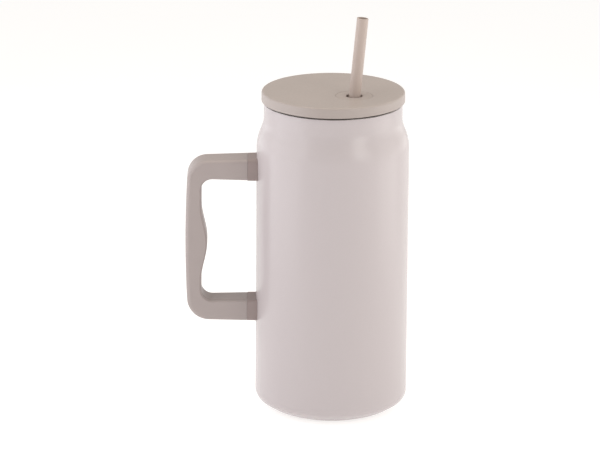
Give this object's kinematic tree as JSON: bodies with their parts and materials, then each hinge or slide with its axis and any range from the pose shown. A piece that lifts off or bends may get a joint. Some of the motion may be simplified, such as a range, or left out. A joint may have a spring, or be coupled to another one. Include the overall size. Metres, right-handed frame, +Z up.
{
  "type": "insulated straw tumbler",
  "caption": "Double-walled steel tumbler with a rounded shoulder, a squared side handle, a flat push-in lid and a straight straw that leans in an off-centre hole.",
  "frame": {"origin": "centre of the base pad's flat underside, on the vessel's axis", "axes": "+Z up along the vessel's axis, the handle towards -X, the straw hole towards +X and -Y"},
  "size_m": [0.1537, 0.105, 0.2801],
  "materials": {
    "powder_coat": "cream powder coat",
    "taupe_plastic": "satin moulded",
    "collar_plastic": "satin moulded",
    "liner_steel": "electropolished",
    "raw_steel": "bare pressed steel",
    "silicone": "soft matte",
    "pad_rubber": "matte",
    "straw_plastic": "smooth extruded",
    "glass_solder": "fused",
    "getter_metal": "sintered"
  },
  "bodies": {
    "vessel": {"outer_shell": "powder_coat", "outer_base": "raw_steel", "vacuum_seal": "glass_solder", "inner_liner": "liner_steel", "liner_base": "liner_steel", "getter_cup": "raw_steel", "getter_pellet": "getter_metal", "base_pad": "pad_rubber", "handle_body": "taupe_plastic", "grip_cover": "taupe_plastic", "upper_bracket": "raw_steel", "lower_bracket": "raw_steel", "upper_collar": "collar_plastic", "lower_collar": "collar_plastic", "upper_screw": "raw_steel", "lower_screw": "raw_steel"},
    "gasket": {"lid_gasket": "silicone"},
    "lid": {"lid_cap": "taupe_plastic", "lid_base": "taupe_plastic", "straw_seal": "silicone"},
    "straw": {"straw": "straw_plastic"}
  },
  "joints": [
    {"name": "lid_lift", "type": "slide", "parent": "vessel", "child": "gasket", "axis": [0, 0, 1], "range_m": [0, 0.22]},
    {"name": "lid_turn", "type": "hinge", "parent": "gasket", "child": "lid", "pos_m": [0, 0, 0.212], "axis": [0, 0, 1], "continuous": true},
    {"name": "straw_pull", "type": "slide", "parent": "lid", "child": "straw", "axis": [0.0918, 0.0434, 0.9948], "range_m": [0, 0.225]}
  ]
}
